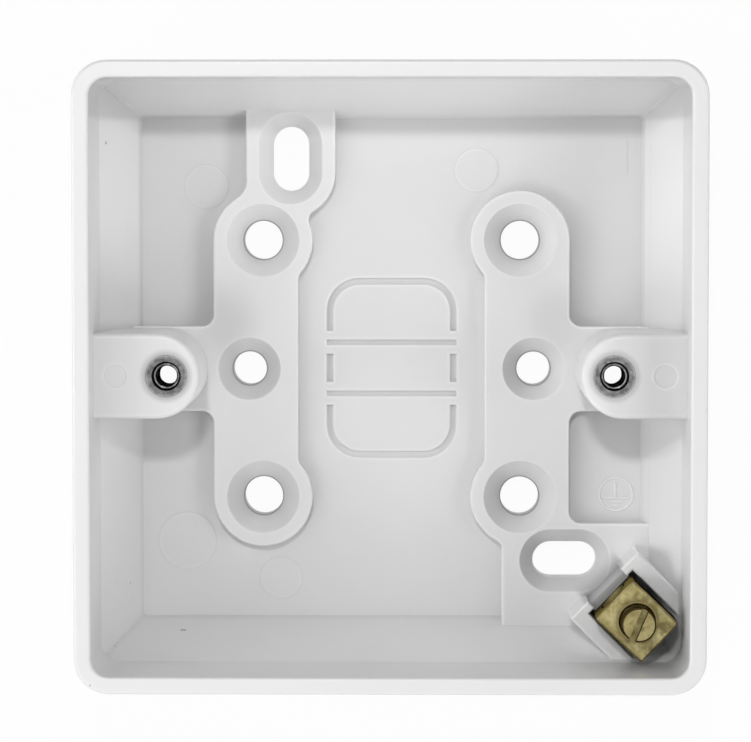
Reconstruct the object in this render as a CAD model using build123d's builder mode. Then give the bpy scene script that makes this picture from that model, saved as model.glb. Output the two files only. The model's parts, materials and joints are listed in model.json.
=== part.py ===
# Single-gang surface pattress box: a white moulded wiring box, lying on its back with the open face up.
# Millimetres. The origin is the middle of the back face, +Z points out of the open face, and +Y is
# the top of the box as it hangs on a wall.
import os
from math import atan, cos

from build123d import *

os.makedirs("parts", exist_ok=True)

# Box walls: straight below the rim, then slanting in to a smaller floor
box_width = 84.5
box_depth = 30.0
wall = 2.3
mouth_corner_radius = 2.5
wall_break_depth = 15.5
floor_inset = 4.9
floor_corner_radius = 0.6
base_thickness = 2.6
rim_outer_round = 0.5
rim_inner_round = 0.4
back_edge_round = 0.6

# Raised pads on the floor that carry the fixing holes
pad_height = 2.6
pad_column_width = 11.9
pad_column_middle = 19.0
pad_web_width = 11.9
pad_pocket_radius = 1.7
pad_boss_blend_radius = 1.5
pad_notch_radius = 1.4
pad_edge_round = 0.25

# Countersunk fixing holes: four on a square, two on the middle line
square_spacing = 36.0
square_hole_diameter = 5.4
square_sink_diameter = 10.2
middle_spacing = 39.8
middle_hole_diameter = 4.7
middle_sink_diameter = 8.8
sink_angle = 90.0

# Countersunk fixing slots: one upright at the top left, one level at the bottom right
slot_width = 5.1
slot_length = 9.0
slot_sink_width = 8.9
top_slot_x = -14.1
top_slot_y = 29.4
top_slot_pad_width = 12.5
top_slot_pad_blend_radius = 3.0
side_slot_x = 24.35
side_slot_y = -26.95
side_slot_pad_left = 15.5
side_slot_pad_top = -21.7

# Faceplate lugs: hollow pillars with a threaded insert in the top of each
lug_spacing = 60.3
lug_width = 11.5
lug_tip_reach = 4.45
lug_tip_sagitta = 5.5
lug_drop = 6.0
lug_edge_round = 0.6
lug_core_wall = 1.9
lug_core_outer_reach = 4.3
lug_ledge = 0.8

# Threaded inserts for M3.5 faceplate screws
insert_diameter = 5.6
insert_length = 9.0
insert_bore_diameter = 2.9
insert_lead_in = 0.5
insert_outer_chamfer = 0.25
insert_fit = 0.03
lug_clearance_hole_diameter = 3.9

# Cable knock-out outlined by grooves in the floor
knockout_width = 18.3
knockout_height = 25.35
knockout_corner_radius = 4.7
knockout_groove_width = 0.95
knockout_groove_depth = 0.8
knockout_bar_offset = 3.6
knockout_bar_width = 0.8
knockout_bridge = 1.2

# Round marks left by the mould's ejector pins: raised on the floor (X, Y, radius), sunk in the lugs
pin_mark_rise = 0.12
floor_pin_marks = ((-26.0, 25.5, 3.0), (11.9, 27.8, 3.0), (-28.8, -24.45, 4.0), (-15.6, -29.7, 2.9))
lug_pin_mark_depth = 0.12
lug_pin_mark_x = 37.0
lug_pin_mark_radius = 1.6

# Corner holder for the earth terminal, set along the diagonal of the box
terminal_corner_gap = 9.0
terminal_length = 8.6
terminal_width = 7.4
terminal_height = 7.3
terminal_seat_height = 13.0
terminal_edge_chamfer = 0.25
terminal_turn = 1.5
holder_rib_rise = 0.8
holder_side_gap = 0.55
holder_rib_thickness = 2.3
holder_front_reach = 1.6
holder_lip_overhang = 0.55
holder_lip_gap = 0.3
holder_seat_front_reach = 1.0
holder_seat_side_inset = 0.35
holder_seat_back_inset = 0.6
holder_rib_round = 0.3

# Wire hole and clamping screw of the earth terminal
wire_hole_diameter = 4.6
wire_hole_height = 3.2
screw_diameter = 4.7
screw_length = 7.3
screw_rise = 3.8
screw_running_gap = 0.1
screw_hole_chamfer = 0.1
screw_hole_overrun = 0.3
screw_edge_chamfer = 0.25
screw_slot_width = 0.95
screw_slot_depth = 1.1
screw_slot_turn = 67.0

# Heights and half widths that follow from the sizes above
mouth_half = box_width / 2 - wall
floor_half = mouth_half - floor_inset
wall_break_height = box_depth - wall_break_depth
wall_slope = (mouth_half - floor_half) / (wall_break_height - base_thickness)
wall_slant = atan(wall_slope)
pad_top = base_thickness + pad_height
pad_column_outer = pad_column_middle + pad_column_width / 2
pad_column_inner = pad_column_middle - pad_column_width / 2
square_half = square_spacing / 2
boss_radius = pad_column_outer - square_half
top_slot_pad_left = top_slot_x - top_slot_pad_width / 2
top_slot_pad_round_y = top_slot_y - (slot_length - slot_width) / 2
lug_top = box_depth - lug_drop
lug_half = lug_spacing / 2
insert_bottom = lug_top - insert_length
terminal_top = terminal_seat_height + terminal_height
holder_top = terminal_seat_height + holder_rib_rise
holder_inner = terminal_width / 2 + holder_side_gap
holder_outer = holder_inner + holder_rib_thickness
lip_inner = terminal_width / 2 - holder_lip_overhang
terminal_distance = mouth_half * 2**0.5 - terminal_corner_gap
terminal_front = terminal_distance - terminal_length / 2
terminal_x = terminal_distance / 2**0.5
wire_hole_level = terminal_seat_height + wire_hole_height
screw_top = terminal_top + screw_rise


def half_width_at(height, outset):
    """Half width of the slanting wall surface at a height, moved out square to the wall."""
    return floor_half + (height - base_thickness) * wall_slope + outset / cos(wall_slant)


def well(outset, bottom, top, turn_corner_radius):
    """Body with the box's two-slope form, its surface moved out from the inside of the walls."""
    upper_half = mouth_half + outset
    lower_half = half_width_at(bottom, outset)
    turn_height = bottom + (upper_half - lower_half) / wall_slope
    with BuildSketch(Plane.XY.offset(bottom)) as low:
        RectangleRounded(2 * lower_half, 2 * lower_half, floor_corner_radius + outset)
    with BuildSketch(Plane.XY.offset(turn_height)) as turn:
        RectangleRounded(2 * upper_half, 2 * upper_half, turn_corner_radius + outset)
    loft([low.sketch.face(), turn.sketch.face()])
    extrude(turn.sketch.face(), amount=top - turn_height)


def corner_at(sketch, x, y):
    """Corner of a sketch nearest to a point."""
    return sketch.vertices().sort_by_distance((x, y))[0]


def boss_chord(offset):
    """Half of the boss circle's chord at a distance from its middle."""
    return (boss_radius**2 - offset**2) ** 0.5


def diagonal_plane(height):
    """Plane whose X runs from the middle of the box to its lower right corner."""
    return Plane(origin=(0, 0, height), x_dir=(1, -1, 0), z_dir=(0, 0, 1))


def terminal_plane(height):
    """Plane at the middle of the terminal block, turned with the block in its loose holder."""
    diagonal = Plane(origin=(terminal_x, -terminal_x, height), x_dir=(1, -1, 0), z_dir=(0, 0, 1))
    return diagonal.rotated((0, 0, terminal_turn))


# Outside of the box, and a smaller form of it that trims whatever stands on the floor
with BuildPart() as envelope:
    well(wall, 0, box_depth, mouth_corner_radius)
    fillet(envelope.faces().sort_by(Axis.Z)[0].edges(), back_edge_round)
    fillet(envelope.faces().sort_by(Axis.Z)[-1].edges(), rim_outer_round)

with BuildPart() as trim_form:
    well(wall / 2, base_thickness / 2, box_depth, mouth_corner_radius)

# Inside of the box: sharp valleys between the slanting walls, ending in the rounded corners of the mouth
with BuildPart() as cavity:
    well(0, base_thickness, box_depth, floor_corner_radius)
    with BuildSketch(Plane.XY.offset(base_thickness)):
        RectangleRounded(2 * mouth_half, 2 * mouth_half, mouth_corner_radius)
    extrude(amount=box_depth - base_thickness, mode=Mode.INTERSECT)

# Plan of the left pads: column, two bosses, web to the lug and the upright slot's pad
with BuildSketch() as left_pad_plan:
    with Locations((-pad_column_middle, 0)):
        Rectangle(pad_column_width, square_spacing)
    with Locations((-square_half, square_half), (-square_half, -square_half)):
        Circle(boss_radius)
    with Locations((-pad_column_middle, 0)):
        Rectangle(mouth_half - pad_column_middle, pad_web_width, align=(Align.MAX, Align.CENTER))
    with Locations((top_slot_x, top_slot_pad_round_y)):
        Circle(top_slot_pad_width / 2)
        Rectangle(top_slot_pad_width, mouth_half - top_slot_pad_round_y, align=(Align.CENTER, Align.MIN))
    for side in (-1, 1):
        fillet(corner_at(left_pad_plan, -pad_column_outer, side * pad_web_width / 2), pad_pocket_radius)
        boss_meets_column = square_half - boss_chord(square_half - pad_column_inner)
        fillet(corner_at(left_pad_plan, -pad_column_inner, side * boss_meets_column), pad_boss_blend_radius)
    boss_meets_slot_pad = square_half + boss_chord(top_slot_pad_left + square_half)
    fillet(corner_at(left_pad_plan, top_slot_pad_left, boss_meets_slot_pad), top_slot_pad_blend_radius)
    notch_side = (top_slot_x + top_slot_pad_width / 2, square_half)
    fillet(corner_at(left_pad_plan, *notch_side), pad_notch_radius)

# Plan of the right pads: column, two bosses, web to the lug and the level slot's pad
with BuildSketch() as right_pad_plan:
    with Locations((pad_column_middle, 0)):
        Rectangle(pad_column_width, square_spacing)
    with Locations((square_half, square_half), (square_half, -square_half)):
        Circle(boss_radius)
    with Locations((pad_column_middle, 0)):
        Rectangle(mouth_half - pad_column_middle, pad_web_width, align=(Align.MIN, Align.CENTER))
    with Locations((side_slot_pad_left, side_slot_pad_top)):
        Rectangle(
            mouth_half - side_slot_pad_left,
            mouth_half + side_slot_pad_top,
            align=(Align.MIN, Align.MAX),
        )
    with Locations((pad_column_middle, -square_half)):
        Rectangle(pad_column_width / 2, -square_half - side_slot_pad_top, align=(Align.MIN, Align.MAX))
    for side in (-1, 1):
        fillet(corner_at(right_pad_plan, pad_column_outer, side * pad_web_width / 2), pad_pocket_radius)
        boss_meets_column = square_half - boss_chord(square_half - pad_column_inner)
        fillet(corner_at(right_pad_plan, pad_column_inner, side * boss_meets_column), pad_boss_blend_radius)
    notch_below = -square_half - boss_chord(square_half - side_slot_pad_left)
    fillet(corner_at(right_pad_plan, side_slot_pad_left, notch_below), pad_notch_radius)
    fillet(corner_at(right_pad_plan, pad_column_outer, side_slot_pad_top), pad_pocket_radius)

# Plan of one lug: straight sides from the wall and a rounded tip
lug_tip = lug_half - lug_tip_reach
with BuildSketch() as lug_plan:
    with BuildLine():
        arc_start = lug_tip + lug_tip_sagitta
        tip_arc = ThreePointArc((arc_start, -lug_width / 2), (lug_tip, 0), (arc_start, lug_width / 2))
        Polyline(
            tip_arc @ 1,
            (mouth_half + wall, lug_width / 2),
            (mouth_half + wall, -lug_width / 2),
            tip_arc @ 0,
        )
    make_face()

# Pads and lugs, with their top edges rounded
with BuildPart() as pads:
    extrude(left_pad_plan.sketch, amount=pad_top)
    extrude(right_pad_plan.sketch, amount=pad_top)
    fillet(pads.faces().group_by(Axis.Z)[-1].edges(), pad_edge_round)

with BuildPart() as lugs:
    extrude(lug_plan.sketch, amount=lug_top)
    mirror(about=Plane.YZ)
    fillet(lugs.faces().group_by(Axis.Z)[-1].edges(), lug_edge_round)

# Terminal holder: a seat under the block, and a rib with a small lip on each side of it
with BuildPart() as holder:
    with BuildSketch(diagonal_plane(0)):
        for side in (-1, 1):
            with Locations((terminal_front - holder_front_reach, side * (holder_inner + holder_outer) / 2)):
                Rectangle(box_width / 2, holder_rib_thickness, align=(Align.MIN, Align.CENTER))
            with Locations((terminal_front - holder_front_reach, side * (lip_inner + holder_outer) / 2)):
                Rectangle(
                    holder_front_reach - holder_lip_gap,
                    holder_outer - lip_inner,
                    align=(Align.MIN, Align.CENTER),
                )
    extrude(amount=holder_top)
    fillet(holder.faces().group_by(Axis.Z)[-1].edges(), holder_rib_round)
    with BuildSketch(diagonal_plane(0)):
        with Locations((terminal_front - holder_seat_front_reach, 0)):
            Rectangle(
                holder_seat_front_reach + terminal_length - holder_seat_back_inset,
                terminal_width - 2 * holder_seat_side_inset,
                align=(Align.MIN, Align.CENTER),
            )
    extrude(amount=terminal_seat_height)

# Everything that stands on the floor, trimmed to the middle of the walls
with BuildPart() as fittings:
    add(pads.part)
    add(lugs.part)
    add(holder.part)
    add(trim_form.part, mode=Mode.INTERSECT)

# The moulding: walls and base, what stands on the floor, then the holes
with BuildPart() as box_moulding:
    add(envelope.part)
    add(cavity.part, mode=Mode.SUBTRACT)
    add(fittings.part)
    rim_face = box_moulding.faces().filter_by(Axis.Z).sort_by(Axis.Z)[-1]
    fillet(rim_face.inner_wires()[0].edges(), rim_inner_round)

    with Locations((0, 0, pad_top)):
        with GridLocations(square_spacing, square_spacing, 2, 2):
            CounterSinkHole(square_hole_diameter / 2, square_sink_diameter / 2, pad_top, sink_angle)
        with GridLocations(middle_spacing, 1, 2, 1):
            CounterSinkHole(middle_hole_diameter / 2, middle_sink_diameter / 2, pad_top, sink_angle)

    for slot_x, slot_y, slot_turn in ((top_slot_x, top_slot_y, 90), (side_slot_x, side_slot_y, 0)):
        with BuildSketch(Plane.XY.offset(pad_top)):
            with Locations(Location((slot_x, slot_y, 0), (0, 0, slot_turn))):
                SlotCenterToCenter(slot_length - slot_width, slot_sink_width)
        extrude(amount=-(slot_sink_width - slot_width) / 2, taper=sink_angle / 2, mode=Mode.SUBTRACT)
        with BuildSketch(Plane.XY):
            with Locations(Location((slot_x, slot_y, 0), (0, 0, slot_turn))):
                SlotCenterToCenter(slot_length - slot_width, slot_width)
        extrude(amount=pad_top, mode=Mode.SUBTRACT)

    # Hollow under each lug, a ledge above it and the insert's hole in the top
    for side in (-1, 1):
        core_tip = lug_tip + lug_core_wall
        core_length = lug_half + lug_core_outer_reach - core_tip
        with BuildSketch(Plane.XY):
            with Locations((side * (core_tip + core_length / 2), 0)):
                RectangleRounded(core_length, lug_width - 2 * lug_core_wall, lug_core_wall)
        extrude(amount=insert_bottom - lug_ledge, mode=Mode.SUBTRACT)
        with Locations((side * lug_half, 0, lug_top)):
            CounterBoreHole(
                lug_clearance_hole_diameter / 2,
                insert_diameter / 2 + insert_fit,
                insert_length,
                insert_length + lug_ledge,
            )

    # Ejector-pin marks
    for mark_x, mark_y, mark_radius in floor_pin_marks:
        with BuildSketch(Plane.XY.offset(base_thickness)):
            with Locations((mark_x, mark_y)):
                Circle(mark_radius)
        extrude(amount=pin_mark_rise)
    with BuildSketch(Plane.XY.offset(lug_top)):
        with GridLocations(2 * lug_pin_mark_x, 1, 2, 1):
            Circle(lug_pin_mark_radius)
    extrude(amount=-lug_pin_mark_depth, mode=Mode.SUBTRACT)

    # Knock-out: an outline broken by short bridges, and two cross bars
    with BuildSketch(Plane.XY.offset(base_thickness)):
        RectangleRounded(knockout_width, knockout_height, knockout_corner_radius)
        RectangleRounded(
            knockout_width - 2 * knockout_groove_width,
            knockout_height - 2 * knockout_groove_width,
            knockout_corner_radius - knockout_groove_width,
            mode=Mode.SUBTRACT,
        )
        for side in (-1, 1):
            with Locations((0, side * knockout_bar_offset)):
                Rectangle(knockout_width, knockout_bar_width + 2 * knockout_bridge, mode=Mode.SUBTRACT)
                Rectangle(knockout_width, knockout_bar_width)
    extrude(amount=-knockout_groove_depth, mode=Mode.SUBTRACT)

box_moulding.part.label = "box_moulding"
export_step(box_moulding.part, "parts/box_moulding.step")

# Threaded inserts pressed into the lugs
for side, insert_name in ((-1, "left_thread_insert"), (1, "right_thread_insert")):
    with BuildPart() as thread_insert:
        with Locations((side * lug_half, 0, insert_bottom)):
            Cylinder(
                insert_diameter / 2,
                insert_length,
                align=(Align.CENTER, Align.CENTER, Align.MIN),
            )
        chamfer(thread_insert.edges().filter_by(GeomType.CIRCLE), insert_outer_chamfer)
        with Locations((side * lug_half, 0, lug_top)):
            CounterSinkHole(
                insert_bore_diameter / 2,
                insert_bore_diameter / 2 + insert_lead_in,
                insert_length,
                sink_angle,
            )
    thread_insert.part.label = insert_name
    export_step(thread_insert.part, f"parts/{insert_name}.step")

# Brass earth terminal: a block with a cross hole for the wire and a hole for its clamping screw
with BuildPart() as earth_terminal_block:
    with BuildSketch(terminal_plane(terminal_seat_height)):
        Rectangle(terminal_length, terminal_width)
    extrude(amount=terminal_height)
    chamfer(earth_terminal_block.edges(), terminal_edge_chamfer)
    wire_plane = Plane(
        origin=terminal_plane(wire_hole_level).origin,
        x_dir=(0, 0, 1),
        z_dir=terminal_plane(wire_hole_level).x_dir,
    )
    with BuildSketch(wire_plane):
        Circle(wire_hole_diameter / 2)
    extrude(amount=terminal_length / 2, both=True, mode=Mode.SUBTRACT)
    screw_hole_radius = screw_diameter / 2 + screw_running_gap
    with Locations((terminal_x, -terminal_x, terminal_top)):
        CounterSinkHole(
            screw_hole_radius,
            screw_hole_radius + screw_hole_chamfer,
            terminal_top - wire_hole_level + wire_hole_diameter / 2 + screw_hole_overrun,
            sink_angle,
        )
earth_terminal_block.part.label = "earth_terminal_block"
export_step(earth_terminal_block.part, "parts/earth_terminal_block.step")

# Clamping screw: headless, with a chamfered top edge and a screwdriver slot
with BuildPart() as earth_terminal_screw:
    with Locations((terminal_x, -terminal_x, screw_top)):
        Cylinder(
            screw_diameter / 2,
            screw_length,
            align=(Align.CENTER, Align.CENTER, Align.MAX),
        )
    chamfer(earth_terminal_screw.edges().filter_by(GeomType.CIRCLE), screw_edge_chamfer)
    with Locations(Location((terminal_x, -terminal_x, screw_top), (0, 0, screw_slot_turn))):
        Box(
            screw_diameter,
            screw_slot_width,
            screw_slot_depth,
            align=(Align.CENTER, Align.CENTER, Align.MAX),
            mode=Mode.SUBTRACT,
        )
earth_terminal_screw.part.label = "earth_terminal_screw"
export_step(earth_terminal_screw.part, "parts/earth_terminal_screw.step")
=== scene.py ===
"""Looks for the surface pattress box: white moulding, dark thread inserts and a brass earth terminal."""
import json
import math

import bmesh
import bpy
from mathutils import Matrix, Vector


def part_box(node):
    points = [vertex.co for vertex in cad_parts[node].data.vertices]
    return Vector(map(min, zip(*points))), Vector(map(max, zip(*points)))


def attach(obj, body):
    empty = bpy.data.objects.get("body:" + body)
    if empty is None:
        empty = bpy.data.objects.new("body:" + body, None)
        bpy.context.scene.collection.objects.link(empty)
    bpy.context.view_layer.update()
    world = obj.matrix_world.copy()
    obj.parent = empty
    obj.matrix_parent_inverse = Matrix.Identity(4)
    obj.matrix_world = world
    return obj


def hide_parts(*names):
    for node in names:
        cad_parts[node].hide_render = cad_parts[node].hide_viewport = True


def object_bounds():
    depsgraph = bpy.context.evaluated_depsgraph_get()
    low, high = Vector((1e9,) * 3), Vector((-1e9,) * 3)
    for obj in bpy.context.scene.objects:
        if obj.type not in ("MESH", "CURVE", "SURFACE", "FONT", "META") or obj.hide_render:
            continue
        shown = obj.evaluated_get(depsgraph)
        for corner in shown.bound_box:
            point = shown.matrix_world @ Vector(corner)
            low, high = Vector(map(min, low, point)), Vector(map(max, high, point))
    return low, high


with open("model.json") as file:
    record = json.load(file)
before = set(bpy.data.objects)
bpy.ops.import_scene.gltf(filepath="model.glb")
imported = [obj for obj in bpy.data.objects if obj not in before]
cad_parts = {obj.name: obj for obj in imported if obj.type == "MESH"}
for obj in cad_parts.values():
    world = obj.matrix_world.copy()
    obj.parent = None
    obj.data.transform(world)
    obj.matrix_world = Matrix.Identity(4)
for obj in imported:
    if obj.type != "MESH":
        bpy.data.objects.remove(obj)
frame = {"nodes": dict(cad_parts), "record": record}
cad_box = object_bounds()

MM = 0.001


def in_mm(point):
    """A point of the frame in millimetres, to the nearest micrometre."""
    return [round(part / MM, 3) for part in point]


# Places on the part in millimetres, from its nodes and mounts
mounts = {mount["name"]: mount for mount in frame["record"]["mounts"]}
square_holes = mounts["wall_screw_square"]["dims"]
middle_holes = mounts["wall_screw_pair"]["dims"]
block_low, block_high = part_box("earth_terminal_block")
RIM_Z = in_mm(cad_box[1])[2]
INSERT_X = mounts["faceplate_threads"]["dims"]["spacing_x_mm"] / 2
INSERT_BOTTOM_Z, LUG_TOP_Z = (in_mm(corner)[2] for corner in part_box("right_thread_insert"))
TERMINAL_X, TERMINAL_Y, _ = in_mm((block_low + block_high) / 2)
SEAT_Z = in_mm(block_low)[2]
BLOCK_TOP_Z = in_mm(block_high)[2]
SCREW_TIP_Z, SCREW_TOP_Z = (in_mm(corner)[2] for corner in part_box("earth_terminal_screw"))
SQUARE_HOLE = square_holes["spacing_x_mm"] / 2
SQUARE_HOLE_RADIUS = square_holes["hole_r_mm"]
MIDDLE_HOLE_X = middle_holes["spacing_x_mm"] / 2
MIDDLE_HOLE_RADIUS = middle_holes["hole_r_mm"]
LEVEL_SLOT_X, LEVEL_SLOT_Y, PAD_TOP_Z = in_mm(mounts["level_slot"]["pos_m"])

# The way the terminal's front faces
TERMINAL_FRONT = [round(part, 4) for part in mounts["earth_wire_hole"]["axis"]]

# Places that the frame does not name, in millimetres
FLOOR_Z = 2.6
LEVEL_SLOT_HALF_LENGTH = 1.95

# Insert in millimetres; its entry is given by depths below its top and radii
INSERT_RADIUS = 2.8
INSERT_TOP_CHAMFER = 0.02
INSERT_BOTTOM_CHAMFER = 0.25
INSERT_ENTRY = ((0.0, 1.98), (0.9, 1.7), (0.95, 1.5), (1.4, 1.4))
INSERT_THREAD_START = 1.6
INSERT_THREAD_END = 2.0
INSERT_LOWER_BORE_RADIUS = 1.95
INSERT_LOWER_BORE_HEIGHT = 1.7

# Terminal screw in millimetres, with the direction of its slot in degrees
SCREW_RADIUS = 2.35
SCREW_CHAMFER = 0.23
SCREW_PLAIN_TOP = 0.4
SCREW_THREAD_START = 0.6
SCREW_THREAD_END = 0.45
SCREW_TIP_RADIUS = 1.7
SCREW_SLOT_WIDTH = 0.95
SCREW_SLOT_DEPTH = 1.1
SCREW_SLOT_TURN = 67.0
SLOT_CUTTER_LENGTH = 7.0

# Threads: pitch, smallest and largest radius in millimetres
INSERT_THREAD = (0.6, 1.3, 1.5)
SCREW_THREAD = (0.8, 2.15, SCREW_RADIUS)

# Fineness of the turned meshes, and the angle in degrees from which an edge is sharp
THREAD_ROWS_PER_TURN = 6
INSERT_SEGMENTS = 48
SCREW_SEGMENTS = 64
SHARP_FROM = 40.0

# Earth sign in millimetres; levels are from its middle, and a bar has a level and half its length
EARTH_SIGN_X = 31.6
EARTH_SIGN_Y = -17.8
SIGN_RING_RADIUS = 2.33
SIGN_RING_POINTS = 72
SIGN_STEM_X = EARTH_SIGN_X - 0.1
SIGN_STEM_TOP = 1.65
SIGN_STEM_BOTTOM = -0.36
SIGN_BARS = ((-0.49, 1.7), (-1.06, 0.88), (-1.58, 0.55))
SIGN_LINE_WIDTH = 0.34
SIGN_BAR_WIDTH = 0.28
SIGN_LINE_HEIGHT = 0.14

# Section of a raised line: across in shares of its width, up in shares of its height
RIDGE_SECTION = ((-0.5, -0.1), (-0.28, 1.0), (0.28, 1.0), (0.5, -0.1))

# Camera, fitted to the rim, lugs, floor and holes in the photograph
PHOTO_WIDTH_PX = 751
CAMERA_PLACE = (4.328 * MM, 25.211 * MM, 469.59 * MM)
CAMERA_AIM = (-1.883 * MM, 1.061 * MM, RIM_Z * MM)
CAMERA_CLIP_START = 0.01
FOCAL_LENGTH_PX = 3319.9
SENSOR_WIDTH_MM = 36.0

# Light levels: what a pure white surface facing the lamp would show
WORLD_LEVEL = 0.10
KEY_PLACE = (-0.026, 0.181, 0.56)
KEY_SIZE = 0.04
KEY_LEVEL = 0.222
LAMP_TARGET = Vector((0, 0, RIM_Z / 2 * MM))

# Softboxes round the box: name, direction and height in degrees, level
SOFTBOX_DISTANCE = 1.2
SOFTBOX_SIZE = 0.5
SOFTBOXES = (
    ("right_softbox", 0.0, 40.0, 0.20),
    ("upper_left_softbox", 135.0, 40.0, 0.065),
    ("left_low_softbox", 180.0, 25.0, 0.19),
    ("left_softbox", 180.0, 40.0, 0.12),
    ("lower_left_low_softbox", 225.0, 25.0, 0.135),
    ("lower_left_softbox", 225.0, 55.0, 0.122),
    ("lower_right_low_softbox", 315.0, 25.0, 0.152),
    ("lower_right_softbox", 315.0, 40.0, 0.072),
)

# Studio floor, just below the back of the box
STUDIO_FLOOR_SIZE = 4.0
STUDIO_FLOOR_Z = -0.1 * MM
STUDIO_FLOOR_GLOW = 0.96

# Grey levels that the moulding's colour is mixed with: painted shade inside, in the corners, in shadowed
# places (with a scratch) and at the holes, painted light, shade and smears by the terminal, rings round
# the inserts, specks
INSIDE_SHADE_GREY = 0.5
CORNER_SHADE_GREY = 0.42
SHADE_AND_SCRATCH_GREY = 0.45
PAINTED_LIGHT_GREY = 0.97
HOLE_SHADE_GREY = 0.15
TERMINAL_SHADE_GREY = 0.2
INSERT_RING_GREY = 0.3
SPECK_GREY = 0.12

# Dark specks that the photograph shows: X, Y, Z and radius in millimetres
SPECKS = (
    (-39.19, 31.48, 12.65, 0.24),
    (-38.35, 38.05, 10.2, 0.30),
    (-36.61, -30.0, 6.4, 0.16),
    (-29.35, -36.66, 6.5, 0.28),
    (-29.0, -36.68, 6.55, 0.24),
    (-40.0, -41.01, 30.0, 0.13),
    (-38.24, -38.18, 10.3, 0.24),
    (-38.5, -38.48, 10.95, 0.3),
    (-38.85, -38.87, 11.8, 0.26),
    (-39.2, -39.25, 12.7, 0.22),
)


class Nodes:
    """Node material with a Principled shader, and short ways to add and link nodes."""

    def __init__(self, name):
        self.material = bpy.data.materials.new(name)
        self.material.use_nodes = True
        self.tree = self.material.node_tree
        self.shader = self.tree.nodes["Principled BSDF"]
        self.place = self.add("TexCoord").outputs["Object"]

    def add(self, kind, **settings):
        node = self.tree.nodes.new("ShaderNode" + kind)
        for key, value in settings.items():
            setattr(node, key, value)
        return node

    def feed(self, socket, value):
        """Links a socket to an input, or sets the input to a plain value."""
        if isinstance(value, bpy.types.NodeSocket):
            self.tree.links.new(value, socket)
        else:
            socket.default_value = value

    def math(self, operation, first, second=0.0):
        node = self.add("Math", operation=operation)
        self.feed(node.inputs[0], first)
        self.feed(node.inputs[1], second)
        return node.outputs[0]

    def product(self, first, *others):
        for other in others:
            first = self.math("MULTIPLY", first, other)
        return first

    def step(self, value, start, end):
        """Smooth rise from 0 at start to 1 at end; start may be the larger."""
        node = self.add("MapRange", interpolation_type="SMOOTHSTEP")
        self.feed(node.inputs["Value"], value)
        node.inputs["From Min"].default_value = min(start, end)
        node.inputs["From Max"].default_value = max(start, end)
        node.inputs["To Min"].default_value = 0.0 if start < end else 1.0
        node.inputs["To Max"].default_value = 1.0 if start < end else 0.0
        return node.outputs["Result"]

    def past(self, value, start_mm, end_mm):
        """The same smooth rise between two lengths in millimetres."""
        return self.step(value, start_mm * MM, end_mm * MM)

    def between(self, value, low, high):
        """A factor from 0 to 1 turned into a value from low to high."""
        node = self.add("MapRange")
        self.feed(node.inputs["Value"], value)
        node.inputs["To Min"].default_value = low
        node.inputs["To Max"].default_value = high
        return node.outputs["Result"]

    def noise(self, feature_mm, detail=2.0, stretch=None, turn=0.0):
        """Noise with features of about a size, or drawn out along one direction."""
        node = self.add("TexNoise")
        node.inputs["Detail"].default_value = detail
        node.inputs["Scale"].default_value = 1.0 / (feature_mm * MM)
        place = self.place
        if stretch:
            mapping = self.add("Mapping")
            self.feed(mapping.inputs["Vector"], place)
            mapping.inputs["Rotation"].default_value = (0, 0, math.radians(turn))
            mapping.inputs["Scale"].default_value = stretch
            place = mapping.outputs["Vector"]
        self.feed(node.inputs["Vector"], place)
        return node.outputs["Fac"]

    def mix(self, factor, first, second):
        node = self.add("Mix", data_type="RGBA")
        self.feed(node.inputs["Factor"], factor)
        self.feed(node.inputs[6], first)
        self.feed(node.inputs[7], second)
        return node.outputs[2]

    def xyz(self, vector):
        node = self.add("SeparateXYZ")
        self.feed(node.inputs[0], vector)
        return node.outputs

    def hollow(self, distance_mm, inside=False):
        """1 deep in a corner or groove, 0 on an open face; looking inside, it finds outer edges."""
        node = self.add("AmbientOcclusion", samples=3, inside=inside, only_local=inside)
        node.inputs["Distance"].default_value = distance_mm * MM
        return self.math("SUBTRACT", 1.0, node.outputs["AO"])

    def apart(self, value, middle_mm):
        """Distance in metres of a coordinate from a middle."""
        return self.math("ABSOLUTE", self.math("SUBTRACT", value, middle_mm * MM))

    def away_from(self, x_mm, y_mm, both_sides=False, half_length_mm=0.0):
        """Distance in metres from an upright axis, or from a level slot's middle line.

        both_sides repeats the axis at minus X.
        """
        x, y, _ = self.xyz(self.place)
        if both_sides:
            x = self.math("ABSOLUTE", x)
        along = self.math("SUBTRACT", self.apart(x, x_mm), half_length_mm * MM)
        along = self.math("MAXIMUM", along, 0.0)
        across = self.math("SUBTRACT", y, y_mm * MM)
        square = self.math("ADD", self.math("POWER", along, 2), self.math("POWER", across, 2))
        return self.math("SQRT", square)

    def bump(self, height, strength, distance_mm):
        node = self.add("Bump")
        node.inputs["Strength"].default_value = strength
        node.inputs["Distance"].default_value = distance_mm * MM
        self.feed(node.inputs["Height"], height)
        self.feed(self.shader.inputs["Normal"], node.outputs["Normal"])


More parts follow.
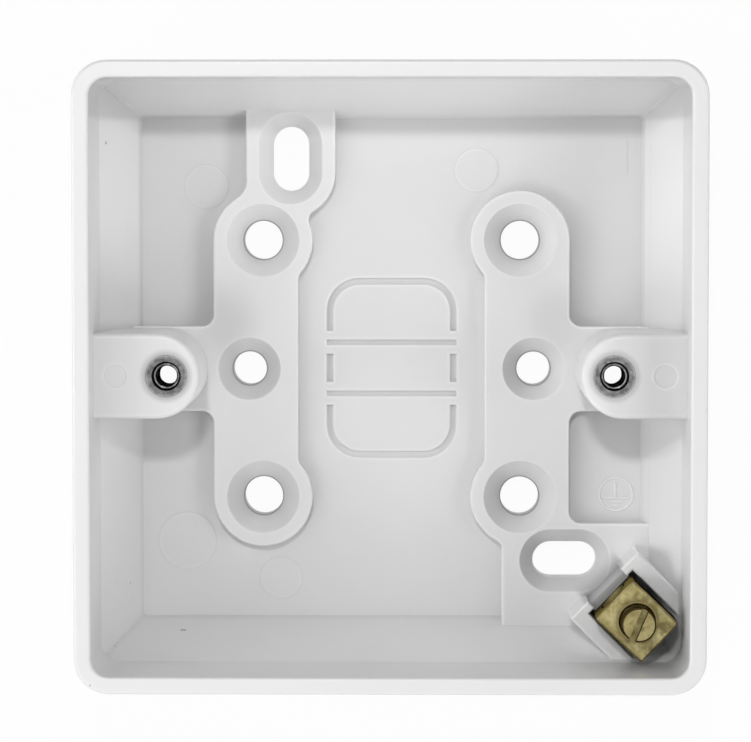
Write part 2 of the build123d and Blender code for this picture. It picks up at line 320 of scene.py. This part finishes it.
class Moulding(Nodes):
    """Node material of the moulding, with the places on the box that its colour follows."""

    def __init__(self, name):
        super().__init__(name)
        self.across, self.along, self.height = self.xyz(self.place)
        self.from_middle = self.math("ABSOLUTE", self.across)
        self.normal = self.xyz(self.add("NewGeometry").outputs["Normal"])
        # Convex edges, found by looking inside; where this is used, they get a painted highlight
        self.edges = self.step(self.hollow(0.5, inside=True), 0.03, 0.28)
        self.below_rim = self.past(self.height, RIM_Z - 0.4, RIM_Z - 1.0)
        self.on_floor = self.past(self.height, FLOOR_Z + 1.4, FLOOR_Z + 0.4)
        self.on_pads = self.product(
            self.past(self.height, PAD_TOP_Z + 0.1, PAD_TOP_Z - 0.1),
            self.past(self.from_middle, 33.5, 33.0),
        )
        self.on_lugs = self.product(
            self.past(self.apart(self.height, LUG_TOP_Z), 1.0, 0.5),
            self.past(self.apart(self.along, 0.0), 6.5, 6.0),
        )

    def toned(self, colour, level, places):
        """The colour mixed with a grey, by a share for each place."""
        for place, share in places:
            colour = self.mix(self.product(place, share), colour, grey(level))
        return colour


def grey(level):
    return (level, level, level, 1.0)


def shaded_inside(n, colour):
    """Painted shade: the inside is greyer than the open rim, and darker still, unevenly, in the corners.
    """
    round_terminal = n.past(n.away_from(TERMINAL_X + 3.0, TERMINAL_Y - 3.0), 18.0, 9.0)
    inside = n.product(n.step(n.hollow(16.0), 0.1, 0.75), n.between(round_terminal, 0.45, 0.1))
    corner_shade = n.product(
        n.step(n.hollow(2.0), 0.15, 0.8),
        n.between(n.noise(4.0), 0.08, 0.28),
        n.past(n.height, FLOOR_Z - 0.4, FLOOR_Z - 0.1),
    )
    colour = n.mix(inside, colour, grey(INSIDE_SHADE_GREY))
    return n.mix(corner_shade, colour, grey(CORNER_SHADE_GREY))


def floor_shade_and_scratch(n):
    """Painted shade on the floor away from its middle, beside the pads and as the rim's shadow at the top
    edge, and a dark scratch.
    """
    off_middle = n.between(n.past(n.away_from(0.0, -9.0), 16.0, 6.0), 1.0, 0.0)
    beside_pads = n.product(
        n.past(n.from_middle, 15.0, 29.0),
        n.between(n.past(n.along, -12.0, 12.0), 0.15, 1.0),
    )
    top_edge = n.past(n.along, 32.4, 33.6)
    scratch = n.product(
        n.past(n.apart(n.across, 33.07), 0.18, 0.05),
        n.past(n.along, 26.8, 27.6),
        n.past(n.along, 32.2, 31.6),
        n.step(n.noise(1.2), 0.35, 0.5),
    )
    places = ((scratch, 0.3), (off_middle, 0.1), (beside_pads, 0.28), (top_edge, 0.17))
    return [(n.product(n.on_floor, place), share) for place, share in places]


def wall_shade(n):
    """Painted shade on the walls: under the top rim, as the rim's shadow at the ends of the side walls, in
    the valleys and as the right lug's shadow; and darker high in the corner by the terminal.
    """
    facing_side = n.math("ABSOLUTE", n.normal[0])
    facing_end = n.math("ABSOLUTE", n.normal[1])
    top_wall = n.product(n.past(n.along, 39.3, 39.8), n.past(n.height, 20.0, 27.0))
    side_wall_ends = n.product(n.step(facing_side, 0.5, 0.8), n.past(n.along, 34.2, 35.4))
    valleys = n.product(
        n.step(facing_side, 0.1, 0.3),
        n.step(facing_end, 0.1, 0.3),
        n.step(n.normal[2], 0.3, 0.4),
        n.past(n.from_middle, 33.0, 34.0),
    )
    lug_shadow = n.product(
        n.past(n.away_from(34.5, -7.0), 6.6, 5.2),
        n.past(n.along, -5.0, -5.6),
        n.past(n.height, LUG_TOP_Z - 1.0, LUG_TOP_Z - 3.0),
    )
    terminal_corner = n.product(
        n.past(n.away_from(41.0, -41.0), 13.0, 4.0),
        n.past(n.height, 17.0, 22.0),
    )
    return [
        (n.product(n.below_rim, top_wall), 0.35),
        (n.product(n.below_rim, side_wall_ends), 0.42),
        (valleys, 0.3),
        (lug_shadow, 0.3),
        (n.product(n.below_rim, terminal_corner), 0.3),
    ]


def pad_and_lug_shade(n):
    """Painted shade on the pads' right-facing slopes, in their sinks, round the level slot, beside the
    lugs and on the right lug; the right pads' tops are a little darker too.
    """
    right_pad_top = n.product(
        n.past(n.apart(n.height, PAD_TOP_Z), 0.3, 0.1),
        n.past(n.across, 10.0, 14.0),
    )
    facing_right = n.product(
        n.step(n.normal[0], 0.1, 0.75),
        n.between(n.past(n.along, 4.0, 13.0), 1.0, 0.3),
    )
    middle_sinks = n.past(n.away_from(MIDDLE_HOLE_X, 0.0, both_sides=True), 4.5, 4.2)
    lower_right_sink = n.past(n.away_from(SQUARE_HOLE, -SQUARE_HOLE), 5.2, 5.0)
    from_slot = n.away_from(LEVEL_SLOT_X, LEVEL_SLOT_Y, half_length_mm=LEVEL_SLOT_HALF_LENGTH)
    beside_lugs = n.product(
        n.past(n.away_from(24.0, 6.5, both_sides=True), 7.0, 1.0),
        n.past(n.height, 6.5, 5.5),
    )
    return [
        (right_pad_top, 0.09),
        (middle_sinks, 0.15),
        (n.product(n.on_pads, facing_right), 0.35),
        (n.product(n.on_pads, lower_right_sink), 0.1),
        (n.product(n.on_pads, n.past(from_slot, 4.4, 4.2)), 0.25),
        (beside_lugs, 0.28),
        (n.product(n.on_lugs, n.past(n.across, 27.0, 31.0)), 0.25),
    ]


def painted_light_places(n):
    """Painted light: on the earth sign's lines, as highlights on outer edges, in the groove beds, one
    sink, two walls and the rim on the left.
    """
    sign_lines = n.product(
        n.on_floor,
        n.past(n.height, FLOOR_Z + 0.04, FLOOR_Z + 0.12),
        n.past(n.away_from(EARTH_SIGN_X, EARTH_SIGN_Y), 3.2, 2.8),
    )
    floor_marks = n.product(
        n.on_floor,
        n.past(n.from_middle, 12.0, 14.0),
        n.past(n.height, FLOOR_Z - 0.3, FLOOR_Z - 0.1),
    )
    groove_beds = n.product(
        n.past(n.height, FLOOR_Z - 0.2, FLOOR_Z - 0.5),
        n.past(n.from_middle, 12.0, 11.0),
    )
    upper_left_sink = n.product(
        n.on_pads,
        n.past(n.away_from(-SQUARE_HOLE, SQUARE_HOLE), 5.2, 5.0),
        n.past(n.across, -19.0, -16.0),
    )
    top_wall = n.product(
        n.step(n.normal[1], -0.5, -0.8),
        n.past(n.height, 24.0, 6.0),
        n.past(n.from_middle, 30.0, 12.0),
    )
    right_wall = n.product(
        n.step(n.normal[0], -0.4, -0.7),
        n.past(n.across, 33.0, 34.0),
        n.past(n.along, 36.0, 31.0),
    )
    rim_on_left = n.product(
        n.past(n.height, RIM_Z - 0.8, RIM_Z - 0.2),
        n.past(n.across, 35.0, -35.0),
    )
    return [
        (sign_lines, 0.5),
        (n.product(n.edges, n.between(floor_marks, 1.0, 0.3)), 0.9),
        (groove_beds, 0.4),
        (upper_left_sink, 0.35),
        (n.product(n.below_rim, top_wall), 0.5),
        (n.product(n.below_rim, right_wall), 0.15),
        (rim_on_left, 0.6),
    ]


def hole_shade(n):
    """1 on a thin line round each round fixing hole and down its wall, for painted shade."""
    holes = (
        (MIDDLE_HOLE_X, 0.0, MIDDLE_HOLE_RADIUS),
        (SQUARE_HOLE, -SQUARE_HOLE, SQUARE_HOLE_RADIUS),
        (SQUARE_HOLE, SQUARE_HOLE, SQUARE_HOLE_RADIUS),
    )
    lines = 0.0
    for x, y, radius in holes:
        line = n.past(n.away_from(x, y, both_sides=True), radius + 0.25, radius + 0.05)
        lines = n.math("MAXIMUM", line, lines)
    return lines


def terminal_shade(n):
    """Shade in front of the terminal between the holder's lips, and smears behind it."""
    toward = n.product(n.math("SUBTRACT", n.across, n.along), math.sqrt(0.5))
    sideways = n.math("ABSOLUTE", n.product(n.math("ADD", n.across, n.along), math.sqrt(0.5)))
    shade = n.product(
        n.past(toward, 39.5, 43.3),
        n.past(toward, 45.5, 44.5),
        n.past(sideways, 4.2, 3.4),
        n.past(n.height, SEAT_Z + 0.7, SEAT_Z + 0.2),
    )
    smears = n.product(
        n.past(n.away_from(TERMINAL_X + 2.5, TERMINAL_Y - 2.5), 9.0, 4.0),
        n.past(n.height, SEAT_Z + 8.0, SEAT_Z + 2.0),
        n.step(n.noise(2.6, 4.0), 0.42, 0.7),
    )
    return [(shade, 0.8), (smears, 0.2)]


def insert_rings(n):
    """1 on the lugs close to each insert."""
    from_insert = n.away_from(INSERT_X, 0.0, both_sides=True)
    return n.product(n.on_lugs, n.past(from_insert, INSERT_RADIUS + 1.1, INSERT_RADIUS - 0.2))


def outside(n):
    """1 on the outer sides of the walls and on the back."""
    outward = n.math("ADD", n.product(n.across, n.normal[0]), n.product(n.along, n.normal[1]))
    return n.math("MAXIMUM", n.past(outward, 28.0, 32.0), n.step(n.normal[2], -0.2, -0.5))


def specks(n):
    """1 on the specks."""
    clear = 1.0
    for x, y, z, radius in SPECKS:
        distance = n.add("VectorMath", operation="DISTANCE")
        n.feed(distance.inputs[0], n.place)
        distance.inputs[1].default_value = (x * MM, y * MM, z * MM)
        clear = n.product(n.past(distance.outputs["Value"], 0.5 * radius, 1.2 * radius), clear)
    return n.math("SUBTRACT", 1.0, clear)


def white_moulding():
    """Semi-gloss white moulding, slightly clouded, with painted shade and painted light in many places, a
    scratch, smears, rings round the inserts and a few specks.
    """
    n = Moulding("white_moulding")
    clouds = n.step(n.noise(14.0, 3.0), 0.3, 0.7)
    clean = n.mix(clouds, grey(0.9), grey(0.92))
    colour = shaded_inside(n, clean)
    colour = n.toned(colour, SHADE_AND_SCRATCH_GREY, floor_shade_and_scratch(n) + wall_shade(n) + pad_and_lug_shade(n))
    colour = n.toned(colour, PAINTED_LIGHT_GREY, painted_light_places(n))
    colour = n.toned(colour, HOLE_SHADE_GREY, [(hole_shade(n), 0.7)])
    colour = n.toned(colour, TERMINAL_SHADE_GREY, terminal_shade(n))
    colour = n.toned(colour, INSERT_RING_GREY, [(insert_rings(n), 0.7)])

    # The outside and the back are clean, with painted highlights on their outer edges
    clean_with_edge_highlight = n.toned(clean, PAINTED_LIGHT_GREY, [(n.edges, 0.9)])
    colour = n.mix(outside(n), colour, clean_with_edge_highlight)
    colour = n.toned(colour, SPECK_GREY, [(specks(n), 0.6)])

    n.feed(n.shader.inputs["Base Color"], colour)
    n.feed(n.shader.inputs["Roughness"], n.between(n.noise(2.0, 3.0), 0.27, 0.36))
    n.bump(n.noise(4.0), 0.04, 0.05)
    return n.material


def terminal_brass():
    """Dull brass with pale and brown patches, fine scratches, and painted shade that blackens its sides.
    """
    n = Nodes("terminal_brass")
    patches = n.step(n.noise(2.2, 4.0), 0.35, 0.65)
    scratches = n.step(n.noise(0.5, 2.0, stretch=(1.0, 0.08, 1.0), turn=35.0), 0.5, 0.72)
    mottle = n.step(n.noise(0.6, 4.0), 0.48, 0.68)
    stains = n.step(n.noise(1.5, 5.0), 0.54, 0.7)
    colour = n.mix(patches, (0.27, 0.23, 0.10, 1), (0.43, 0.375, 0.18, 1))
    colour = n.mix(n.product(scratches, 0.3), colour, (0.54, 0.48, 0.28, 1))
    colour = n.mix(n.product(mottle, 0.4), colour, (0.19, 0.155, 0.065, 1))
    colour = n.mix(n.product(stains, 0.65), colour, (0.12, 0.095, 0.04, 1))

    n.feed(n.shader.inputs["Base Color"], brass_with_painted_shade(n, colour))
    n.shader.inputs["Metallic"].default_value = 1.0
    n.shader.inputs["Specular Tint"].default_value = (0.3, 0.25, 0.12, 1.0)
    n.feed(n.shader.inputs["Roughness"], n.between(patches, 0.52, 0.4))
    n.bump(n.noise(0.45, 4.0), 0.18, 0.06)
    return n.material


def brass_with_painted_shade(n, colour):
    """The brass with its screw darkened, painted shade on its upright faces, round the screw's foot and in
    hollow places, and painted light in a ring round the screw.
    """
    height = n.xyz(n.place)[2]
    normal = n.add("NewGeometry").outputs["Normal"]
    upward = n.xyz(normal)[2]
    from_axis = n.away_from(TERMINAL_X, TERMINAL_Y)
    screw = n.math("LESS_THAN", from_axis, (SCREW_RADIUS + 0.05) * MM)
    by_screw = n.math("LESS_THAN", from_axis, (SCREW_RADIUS + 0.4) * MM)
    off_screw = n.math("SUBTRACT", 1.0, screw)

    # The screw is a little darker, and painted shade darkens the block's top close to it
    colour = n.mix(n.product(screw, 0.36), colour, (0.1, 0.08, 0.03, 1))
    screw_foot_shade = n.past(from_axis, SCREW_RADIUS + 1.05, SCREW_RADIUS + 0.05)
    colour = n.mix(n.product(screw_foot_shade, off_screw, 0.75), colour, (0.12, 0.09, 0.038, 1))

    # Painted shade on upright faces: black on the block's sides, brown on the screw, little on the block's
    # front
    facing = n.add("VectorMath", operation="DOT_PRODUCT")
    n.feed(facing.inputs[0], normal)
    facing.inputs[1].default_value = TERMINAL_FRONT
    front = n.product(
        n.step(facing.outputs["Value"], 0.5, 0.68),
        off_screw,
        n.past(height, SEAT_Z + 1.0, SEAT_Z + 4.0),
    )
    side = n.math(
        "MAXIMUM",
        n.step(upward, 0.68, 0.4),
        n.product(by_screw, n.step(upward, 0.97, 0.8)),
    )
    above_block = n.past(height, BLOCK_TOP_Z, BLOCK_TOP_Z + 2.5)
    screw_side_shade = n.mix(above_block, (0.16, 0.125, 0.055, 1), (0.045, 0.032, 0.014, 1))
    upright_shade_colour = n.mix(by_screw, (0.02, 0.015, 0.008, 1), screw_side_shade)
    colour = n.mix(n.product(side, n.between(front, 0.95, 0.15)), colour, upright_shade_colour)

    # Painted shade makes hollow places dark, less so in the screw's slot, and painted light makes a paler
    # ring round the screw
    in_slot = n.product(screw, n.past(height, SCREW_TOP_Z - 0.4, SCREW_TOP_Z - 0.7))
    hollow = n.product(n.step(n.hollow(1.2), 0.3, 0.85), n.between(in_slot, 0.75, 0.15))
    colour = n.mix(hollow, colour, (0.06, 0.045, 0.02, 1))
    return n.mix(n.product(by_screw, off_screw, 0.8), colour, (0.3, 0.245, 0.11, 1))


def insert_steel():
    """Dull grey steel with small bright nicks, painted shade that makes it black inside, and paler at its
    outer edge.
    """
    n = Nodes("insert_steel")
    mottle = n.step(n.noise(0.8, 4.0), 0.35, 0.68)
    nicks = n.step(n.noise(0.28, 2.0), 0.66, 0.74)
    from_axis = n.away_from(INSERT_X, 0.0, both_sides=True)
    ragged = n.math("ADD", from_axis, n.product(n.noise(0.7), 0.3 * MM))
    worn = n.past(ragged, INSERT_RADIUS - 0.15, INSERT_RADIUS + 0.2)
    # Painted shade: steep faces, inside the bore, are nearly black
    side = n.step(n.xyz(n.add("NewGeometry").outputs["Normal"])[2], 0.75, 0.3)
    colour = n.mix(mottle, grey(0.09), grey(0.19))
    colour = n.mix(n.product(nicks, 0.6), colour, grey(0.6))
    colour = n.mix(n.product(worn, 0.55), colour, grey(0.45))
    colour = n.mix(n.product(side, 0.95), colour, grey(0.02))

    n.feed(n.shader.inputs["Base Color"], colour)
    n.shader.inputs["Metallic"].default_value = 1.0
    n.shader.inputs["Specular Tint"].default_value = grey(0.25)
    n.feed(n.shader.inputs["Roughness"], n.between(mottle, 0.55, 0.4))
    n.bump(n.noise(0.3, 3.0), 0.2, 0.04)
    return n.material


def dress(node, material):
    mesh = frame["nodes"][node].data
    mesh.materials.clear()
    mesh.materials.append(material)


def add_object(name, data):
    thing = bpy.data.objects.new(name, data)
    bpy.context.scene.collection.objects.link(thing)
    return thing


def mesh_from(name, bm):
    """Turns a bmesh into a mesh, and frees it."""
    mesh = bpy.data.meshes.new(name)
    bm.to_mesh(mesh)
    bm.free()
    return mesh


def smooth(mesh):
    """Smooth shading with sharp edges."""
    mesh.shade_smooth()
    mesh.set_sharp_from_angle(angle=math.radians(SHARP_FROM))


def new_piece(name, bm, body, material):
    """Turns a bmesh into a piece that rides on a body and has a material slot."""
    bmesh.ops.recalc_face_normals(bm, faces=bm.faces)
    mesh = mesh_from(name, bm)
    smooth(mesh)
    mesh.materials.append(material)
    piece = add_object(name, mesh)
    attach(piece, body)
    return piece


def join_rings(bm, first, second):
    """Faces between two rings of as many vertices each."""
    for index in range(len(first)):
        after = (index + 1) % len(first)
        bm.faces.new((first[index], first[after], second[after], second[index]))


def turned(bm, rows, segments, axis_x, axis_y):
    """Rings of vertices round an upright axis, one ring for each row.

    A row gives a height and a function from the angle to the radius, both in millimetres.
    """
    rings = []
    for height, radius_at in rows:
        ring = []
        for index in range(segments):
            angle = 2 * math.pi * index / segments
            radius = radius_at(angle)
            x = axis_x + radius * math.cos(angle)
            y = axis_y + radius * math.sin(angle)
            ring.append(bm.verts.new((x * MM, y * MM, height * MM)))
        rings.append(ring)
    for upper, lower in zip(rings, rings[1:]):
        join_rings(bm, upper, lower)
    return rings


def plain(radius):
    return lambda angle: radius


def plain_rows(profile):
    """Rows of constant radius, from heights and radii."""
    return [(height, plain(radius)) for height, radius in profile]


def helix(height, pitch, inner, outer):
    """Radius of a triangular thread at one height, as a function of the angle."""

    def radius_at(angle):
        phase = (height / pitch - angle / (2 * math.pi)) % 1.0
        return inner + (outer - inner) * abs(2 * phase - 1)

    return radius_at


def thread_rows(top, bottom, pitch, inner, outer):
    count = round((top - bottom) / pitch * THREAD_ROWS_PER_TURN)
    heights = [top + (bottom - top) * index / count for index in range(count + 1)]
    return [(height, helix(height, pitch, inner, outer)) for height in heights]


def threaded_insert(name, node, axis_x, material):
    """Metal insert with a wide entry, a small ledge, the thread below it and a wider lower end."""
    top, bottom = LUG_TOP_Z, INSERT_BOTTOM_Z
    entry = [(top - depth, radius) for depth, radius in INSERT_ENTRY]
    lower_end = [
        (bottom + INSERT_LOWER_BORE_HEIGHT, INSERT_LOWER_BORE_RADIUS),
        (bottom, INSERT_LOWER_BORE_RADIUS),
        (bottom, INSERT_RADIUS - INSERT_BOTTOM_CHAMFER),
    ]
    outer_side = [
        (bottom + INSERT_BOTTOM_CHAMFER, INSERT_RADIUS),
        (top - INSERT_TOP_CHAMFER, INSERT_RADIUS),
        (top, INSERT_RADIUS - INSERT_TOP_CHAMFER),
    ]
    rows = plain_rows(entry)
    rows += thread_rows(top - INSERT_THREAD_START, bottom + INSERT_THREAD_END, *INSERT_THREAD)
    rows += plain_rows(lower_end + outer_side)
    bm = bmesh.new()
    rings = turned(bm, rows, INSERT_SEGMENTS, axis_x, 0.0)
    join_rings(bm, rings[-1], rings[0])
    piece = new_piece(name, bm, "box", material)
    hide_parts(node)


def threaded_screw(material):
    """Clamping screw with its thread, a chamfered top and a screwdriver slot."""
    top, tip = SCREW_TOP_Z, SCREW_TIP_Z
    head = [
        (top, SCREW_RADIUS - SCREW_CHAMFER),
        (top - SCREW_CHAMFER, SCREW_RADIUS),
        (top - SCREW_PLAIN_TOP, SCREW_RADIUS),
    ]
    rows = plain_rows(head)
    rows += thread_rows(top - SCREW_THREAD_START, tip + SCREW_THREAD_END, *SCREW_THREAD)
    rows += plain_rows([(tip, SCREW_TIP_RADIUS)])
    bm = bmesh.new()
    rings = turned(bm, rows, SCREW_SEGMENTS, TERMINAL_X, TERMINAL_Y)
    bm.faces.new(rings[0])
    bm.faces.new(list(reversed(rings[-1])))
    piece = new_piece("threaded_terminal_screw", bm, "terminal_screw", material)
    cut_slot(piece)
    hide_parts("earth_terminal_screw")


def cut_slot(piece):
    """Cuts the screwdriver slot through the top of the screw."""
    size = Vector((SLOT_CUTTER_LENGTH, SCREW_SLOT_WIDTH, 2 * SCREW_SLOT_DEPTH)) * MM
    bm = bmesh.new()
    bmesh.ops.create_cube(bm, size=1.0)
    bmesh.ops.scale(bm, vec=size, verts=bm.verts)
    cutter_mesh = mesh_from("slot_cutter", bm)
    cutter = add_object("slot_cutter", cutter_mesh)
    turn = Matrix.Rotation(math.radians(SCREW_SLOT_TURN), 4, "Z")
    place = Vector((TERMINAL_X, TERMINAL_Y, SCREW_TOP_Z)) * MM
    cutter.matrix_world = Matrix.Translation(place) @ turn
    cut = piece.modifiers.new("slot", "BOOLEAN")
    cut.operation = "DIFFERENCE"
    cut.solver = "EXACT"
    cut.object = cutter
    result = bpy.data.meshes.new_from_object(piece.evaluated_get(bpy.context.evaluated_depsgraph_get()))
    piece.modifiers.remove(cut)
    uncut = piece.data
    piece.data = result
    bpy.data.meshes.remove(uncut)
    bpy.data.objects.remove(cutter)
    bpy.data.meshes.remove(cutter_mesh)
    smooth(result)


def ridge(bm, points, width, closed=False):
    """Raised line with sloping sides along points on the floor, in millimetres."""
    count = len(points)
    sections = []
    for index, point in enumerate(points):
        before = points[index - 1] if closed or index > 0 else point
        after = points[(index + 1) % count] if closed or index < count - 1 else point
        along = (Vector(after) - Vector(before)).normalized()
        across = Vector((-along.y, along.x))
        section = []
        for side, level in RIDGE_SECTION:
            spot = Vector(point) + across * side * width
            height = FLOOR_Z + level * SIGN_LINE_HEIGHT
            section.append(bm.verts.new((spot.x * MM, spot.y * MM, height * MM)))
        sections.append(section)
    for first, second in zip(sections, sections[1:]):
        join_rings(bm, first, second)
    if closed:
        join_rings(bm, sections[-1], sections[0])
    else:
        bm.faces.new(sections[0])
        bm.faces.new(list(reversed(sections[-1])))


def earth_symbol(material):
    """The generic earth sign in raised lines on the floor, next to the terminal."""
    x, y = EARTH_SIGN_X, EARTH_SIGN_Y
    ring = []
    for index in range(SIGN_RING_POINTS):
        angle = 2 * math.pi * index / SIGN_RING_POINTS
        ring.append((x + SIGN_RING_RADIUS * math.cos(angle), y + SIGN_RING_RADIUS * math.sin(angle)))
    stem = [(SIGN_STEM_X, y + SIGN_STEM_TOP), (SIGN_STEM_X, y + SIGN_STEM_BOTTOM)]
    bm = bmesh.new()
    ridge(bm, ring, SIGN_LINE_WIDTH, closed=True)
    ridge(bm, stem, SIGN_LINE_WIDTH)
    for level, half in SIGN_BARS:
        ridge(bm, [(SIGN_STEM_X - half, y + level), (SIGN_STEM_X + half, y + level)], SIGN_BAR_WIDTH)
    new_piece("earth_symbol", bm, "box", material)


def seen_directly(tree):
    """1 for what the camera, a reflection or a clear surface sees, 0 for light on the object."""
    path = tree.nodes.new("ShaderNodeLightPath")
    seen = path.outputs["Is Camera Ray"]
    for ray in ("Is Glossy Ray", "Is Transmission Ray"):
        either = tree.nodes.new("ShaderNodeMath")
        either.operation = "MAXIMUM"
        tree.links.new(seen, either.inputs[0])
        tree.links.new(path.outputs[ray], either.inputs[1])
        seen = either.outputs[0]
    return seen


def studio_floor():
    """Pale floor that the camera sees as nearly white, and that still takes the shadow."""
    bpy.ops.mesh.primitive_plane_add(size=STUDIO_FLOOR_SIZE, location=(0, 0, STUDIO_FLOOR_Z))
    floor = bpy.context.object
    floor.name = "studio_floor"
    n = Nodes("studio_floor")
    n.shader.inputs["Base Color"].default_value = grey(0.85)
    n.shader.inputs["Roughness"].default_value = 0.9
    glow = n.add("Emission")
    glow.inputs["Strength"].default_value = 1.0
    mix = n.add("MixShader")
    n.feed(mix.inputs["Fac"], n.product(seen_directly(n.tree), STUDIO_FLOOR_GLOW))
    n.feed(mix.inputs[1], n.shader.outputs[0])
    n.feed(mix.inputs[2], glow.outputs[0])
    n.feed(n.tree.nodes["Material Output"].inputs["Surface"], mix.outputs[0])
    floor.data.materials.append(n.material)


def studio_world():
    """White surroundings that light the object at their own lower level."""
    world = bpy.data.worlds.new("studio_world")
    bpy.context.scene.world = world
    world.use_nodes = True
    tree = world.node_tree
    level = tree.nodes.new("ShaderNodeMapRange")
    level.inputs["To Min"].default_value = WORLD_LEVEL
    level.inputs["To Max"].default_value = 1.0
    tree.links.new(seen_directly(tree), level.inputs["Value"])
    background = tree.nodes["Background"]
    background.inputs["Color"].default_value = (1, 1, 1, 1)
    tree.links.new(level.outputs["Result"], background.inputs["Strength"])


def looking(place, target):
    """Placing for a lamp or camera that looks from a place at a target with +Y of the box up."""
    back = (Vector(place) - Vector(target)).normalized()
    right = Vector((0, 1, 0)).cross(back).normalized()
    turn = Matrix((right, back.cross(right), back)).transposed().to_4x4()
    return Matrix.Translation(place) @ turn


def lamp(name, place, size, level):
    """Round lamp aimed at the box; the level is what a white surface facing it shows."""
    light = bpy.data.lights.new(name, "AREA")
    light.shape = "DISK"
    light.size = size
    light.energy = level * math.pi**2 * (Vector(place) - LAMP_TARGET).length_squared
    add_object(name, light).matrix_world = looking(place, LAMP_TARGET)


def studio_lamps():
    lamp("key_light", KEY_PLACE, KEY_SIZE, KEY_LEVEL)
    for name, direction, height, level in SOFTBOXES:
        turn, rise = math.radians(direction), math.radians(height)
        aim = Vector((math.cos(rise) * math.cos(turn), math.cos(rise) * math.sin(turn), math.sin(rise)))
        lamp(name, aim * SOFTBOX_DISTANCE, SOFTBOX_SIZE, level)


def photo_camera():
    lens = bpy.data.cameras.new("photo_camera")
    lens.sensor_fit = "HORIZONTAL"
    lens.sensor_width = SENSOR_WIDTH_MM
    lens.lens = FOCAL_LENGTH_PX * SENSOR_WIDTH_MM / PHOTO_WIDTH_PX
    lens.clip_start = CAMERA_CLIP_START
    camera = add_object("photo_camera", lens)
    camera.matrix_world = looking(CAMERA_PLACE, CAMERA_AIM)
    bpy.context.scene.camera = camera


photo_camera()
white = white_moulding()
brass = terminal_brass()
steel = insert_steel()
dress("box_moulding", white)
dress("earth_terminal_block", brass)
threaded_insert("left_threaded_insert", "left_thread_insert", -INSERT_X, steel)
threaded_insert("right_threaded_insert", "right_thread_insert", INSERT_X, steel)
threaded_screw(brass)
earth_symbol(white)
studio_floor()
studio_world()
studio_lamps()
bpy.context.scene.view_settings.view_transform = "Standard"
